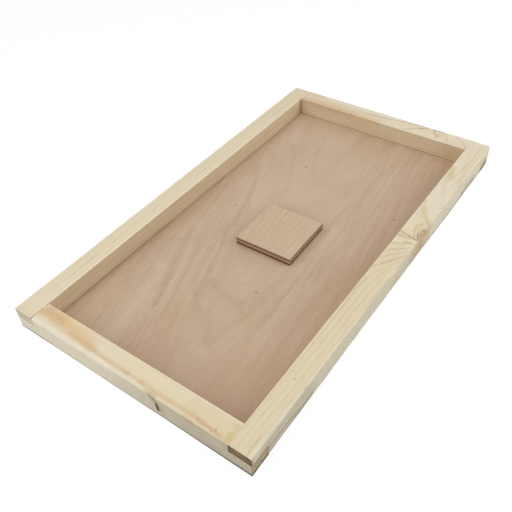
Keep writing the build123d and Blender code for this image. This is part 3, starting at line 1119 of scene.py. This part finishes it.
# %% [markdown]
# The joints are held by steel: two wire nails in each corner lap and a row of wire staples along each edge of
# the panel, all driven from below, so they show only when the cover is turned over. Things that repeat suit
# Geometry Nodes. A tree builds one nail or one staple from named sizes and sets a copy on every point of a
# cloud; the copies are then realised into one plain mesh, because an instance doesn't survive an export.

# %% Steel wire
# Bright drawn steel wire, dulled a little: a grey metal whose gloss changes along its length.
steel, add, steel_shader, steel_place = new_material("drawn steel wire")
scuffs = patches(add, steel_place, (0.8, 0.8, 2.5), 3.0)
steel_gloss = add(RANGE, [scuffs, 0.3, 0.7, 0.3, 0.55])
steel_tone = lay_coats(add, "#8F8C86", (scuffs, "#BDBAB2", "MIX"))
fill(steel_shader, {"Base Color": steel_tone, "Roughness": steel_gloss, "Metallic": 1.0})
print(f"{steel.name}: {len(steel.node_tree.nodes)} nodes")


# %% Trees that set one shape on many points
def shape_tree(name, sizes):
    """A tree with an input for each size, in metres, with what adds a node to it and what it is given."""
    tree = bpy.data.node_groups.new(name, "GeometryNodeTree")
    tree.interface.new_socket("Geometry", in_out="INPUT", socket_type="NodeSocketGeometry")
    for size in sizes:
        tree.interface.new_socket(size, in_out="INPUT", socket_type="NodeSocketFloat")
    tree.interface.new_socket("Geometry", in_out="OUTPUT", socket_type="NodeSocketGeometry")
    add = partial(add_node, tree)
    return tree, add, add("NodeGroupInput").node.outputs


def set_on_points(add, points, shape):
    """Ends a tree: a copy of the shape on each point, turned by the point's angle, as one mesh of steel."""
    angle = add("GeometryNodeInputNamedAttribute", {"Name": "turn"}, data_type="FLOAT")
    turned = add("ShaderNodeCombineXYZ", {"Z": angle})
    spots = {"Points": points, "Instance": shape, "Rotation": turned}
    solid = add("GeometryNodeRealizeInstances", {"Geometry": add("GeometryNodeInstanceOnPoints", spots)})
    solid = add("GeometryNodeSetMaterial", {"Geometry": solid, "Material": steel})
    add("NodeGroupOutput", {"Geometry": solid})


# %% Copies made real
def realise(name, tree, places, turns, sizes):
    """Runs a tree on a cloud of places, in millimetres, and keeps the result as a plain piece."""
    cloud = bpy.data.meshes.new("cloud")
    cloud.from_pydata([(x * MM, y * MM, 0.0) for x, y in places], [], [])
    cloud.attributes.new("turn", "FLOAT", "POINT").data.foreach_set("value", np.array(turns, np.float32))
    holder = bpy.data.objects.new("holder", cloud)
    bpy.context.scene.collection.objects.link(holder)
    modifier = holder.modifiers.new("shape", "NODES")
    modifier.node_group = tree
    for socket in tree.interface.items_tree:
        if socket.in_out == "INPUT" and socket.name in sizes:
            modifier[socket.identifier] = sizes[socket.name] * MM
    finished = holder.evaluated_get(bpy.context.evaluated_depsgraph_get())
    mesh = bpy.data.meshes.new_from_object(finished)
    bpy.data.objects.remove(holder)
    mesh.name = name
    piece = smooth_object(name, mesh)
    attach(piece, "cover")
    print(f"{name}: {len(places)} copies, {len(mesh.polygons)} faces")
    return piece


# %% [markdown]
# A nail is turned from rings, like work on a lathe: each ring is a cone without ends, from one height to the
# next. A staple is a bent wire: three straight runs with rounded corners, and a circle swept along them.

# %% Nails
nail_sizes = {
    "Head radius": 2.5, "Rim": 0.2, "Head height": 0.9, "Shank radius": 1.1, "Neck": 18.5, "Tip": 21.5
}
nail_tree, add, given = shape_tree("wire_nail", nail_sizes)
head, rim, head_top, shank, neck, tip = (given[size] for size in nail_sizes)
flat_radius = add(MATH, [head, rim], "SUBTRACT")
profile = [
    (0.0, 0.0), (flat_radius, 0.0), (head, rim), (head, head_top), (shank, head_top), (shank, neck),
    (0.0, tip)
]
nail_rings = add("GeometryNodeJoinGeometry").node
for (low_radius, low), (high_radius, high) in zip(profile, profile[1:]):
    rise = add(MATH, [high, low], "SUBTRACT")
    cone = {"Vertices": 24, "Radius Top": high_radius, "Radius Bottom": low_radius, "Depth": rise}
    ring = add("GeometryNodeMeshCone", cone, fill_type="NONE")
    lift = add("ShaderNodeCombineXYZ", {"Z": low})
    fill(nail_rings, {"Geometry": add("GeometryNodeTransform", {"Geometry": ring, "Translation": lift})})
joined = {"Geometry": nail_rings.outputs["Geometry"], "Distance": 0.01 * MM}
set_on_points(add, given["Geometry"], add("GeometryNodeMergeByDistance", joined))

corner_nails = realise("corner_nails_steel", nail_tree, nail_places, [0.0] * len(nail_places), nail_sizes)
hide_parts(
    *(f"corner_nails_{end}_{side}" for end in ("front", "rear") for side in ("left", "right"))
)

# %% Staples
staple_sizes = {"Half crown": 5.0, "Crown height": 1.0, "Leg top": 14.5, "Wire radius": 0.5, "Bend": 1.0}
staple_tree, add, given = shape_tree("wire_staple", staple_sizes)
half_crown, crown, leg_top, wire_radius, bend = (given[size] for size in staple_sizes)
minus_half = add(MATH, [half_crown, -1.0], "MULTIPLY")
bends = [(minus_half, leg_top), (minus_half, crown), (half_crown, crown), (half_crown, leg_top)]
points = {f"Point {i + 1}": add("ShaderNodeCombineXYZ", {"X": x, "Z": z}) for i, (x, z) in enumerate(bends)}
wire = add("GeometryNodeCurvePrimitiveQuadrilateral", points, mode="POINTS")
wire = add("GeometryNodeSetSplineCyclic", {"Geometry": wire, "Cyclic": False})
wire = add("GeometryNodeFilletCurve", {"Curve": wire, "Radius": bend, "Count": 5}, mode="POLY")
section = add("GeometryNodeCurvePrimitiveCircle", {"Resolution": 12, "Radius": wire_radius})
swept = {"Curve": wire, "Profile Curve": section, "Fill Caps": True}
set_on_points(add, given["Geometry"], add("GeometryNodeCurveToMesh", swept))

corner_inset = 30.0
staple_places = []
staple_turns = []
for side in (-1, 1):
    for share in np.linspace(-1, 1, 5):
        staple_places.append((side * inner_line_x, share * (inner_half_length - corner_inset)))
        staple_turns.append(math.pi / 2)
    for share in np.linspace(-1, 1, 3):
        staple_places.append((share * (inner_half_width - corner_inset), side * inner_line_y))
        staple_turns.append(0.0)
panel_staples = realise("panel_staples_steel", staple_tree, staple_places, staple_turns, staple_sizes)
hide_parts(*(f"panel_staples_{edge}" for edge in ("left", "right", "front", "rear")))

# %% [markdown]
# A product photograph is lit softly from all round: a bright world, a large lamp overhead, and two low lamps
# that brighten the side walls. The floor is a sheet of pale, matt paper. More light would turn it white but
# would bleach the wood too, so the paper looks nearly white only to the camera, and keeps a trace of shadow.

# %% Floor
floor_half = 4.0
floor_level = -0.0002

floor_mesh = bpy.data.meshes.new("floor")
ways = ((-1, -1), (1, -1), (1, 1), (-1, 1))
floor_corners = [(x * floor_half, y * floor_half, floor_level) for x, y in ways]
floor_mesh.from_pydata(floor_corners, [], [(0, 1, 2, 3)])
floor = bpy.data.objects.new("floor", floor_mesh)
bpy.context.scene.collection.objects.link(floor)
print(f"floor {2 * floor_half:.0f} m square")


# %% Paper
def seen_directly(add):
    """1 for rays from the camera or off a shiny or clear surface, 0 for the rays that light the object."""
    rays = add("ShaderNodeLightPath").node.outputs
    seen = add(MATH, [rays["Is Camera Ray"], rays["Is Glossy Ray"]], "MAXIMUM")
    return add(MATH, [seen, rays["Is Transmission Ray"]], "MAXIMUM")


# Matt white paper: it lights the cover from below as a grey sheet does, and is seen as nearly white.
paper_white = 1.04
floor_glow = 0.9
paper = bpy.data.materials.new("matt white paper")
paper.use_nodes = True
paper_shader = paper.node_tree.nodes["Principled BSDF"]
add = partial(add_node, paper.node_tree)
fill(paper_shader, {"Base Color": linear("#E7E7E7"), "Roughness": 0.95, "Specular IOR Level": 0.0})
white = add("ShaderNodeEmission", {"Color": (1, 1, 1, 1), "Strength": paper_white})
share = add(MATH, [seen_directly(add), floor_glow], "MULTIPLY")
seen_floor = add("ShaderNodeMixShader", [share, paper_shader.outputs[0], white])
fill(paper.node_tree.nodes["Material Output"], {"Surface": seen_floor})
floor_mesh.materials.append(paper)
print(f"{paper.name}: {len(paper.node_tree.nodes)} nodes")

# %% World
sky_strength = 0.285
world = bpy.data.worlds.new("white studio")
bpy.context.scene.world = world
world.use_nodes = True
add = partial(add_node, world.node_tree)
sky_level = add(RANGE, [seen_directly(add), 0.0, 1.0, sky_strength, 1.0])
fill(world.node_tree.nodes["Background"], {"Color": (1, 1, 1, 1), "Strength": sky_level})
print(f"sky strength {sky_strength}")


# %% Lamps
def soft_lamp(name, place, size, power):
    """A square lamp that faces the middle of the cover, in metres and watts."""
    lamp = bpy.data.objects.new(name, bpy.data.lights.new(name, "AREA"))
    lamp.data.size = size
    lamp.data.energy = power
    direction = Vector() - Vector(place)
    lamp.matrix_world = Matrix.Translation(place) @ direction.to_track_quat("-Z", "Y").to_matrix().to_4x4()
    bpy.context.scene.collection.objects.link(lamp)


soft_lamp("overhead_lamp", (0.0, 0.05, 1.4), 1.2, 7.5)
soft_lamp("front_lamp", (-0.4, -1.0, 0.8), 1.0, 7.0)
soft_lamp("right_lamp", (0.9, 0.5, 0.6), 0.8, 5.5)
print(f"{len(bpy.data.lights)} lamps")

# %% [markdown]
# Last, the box round the finished pieces is kept beside the box round the solids, to show that nothing grew.

# %% Finish
bpy.context.scene.view_settings.view_transform = "Standard"
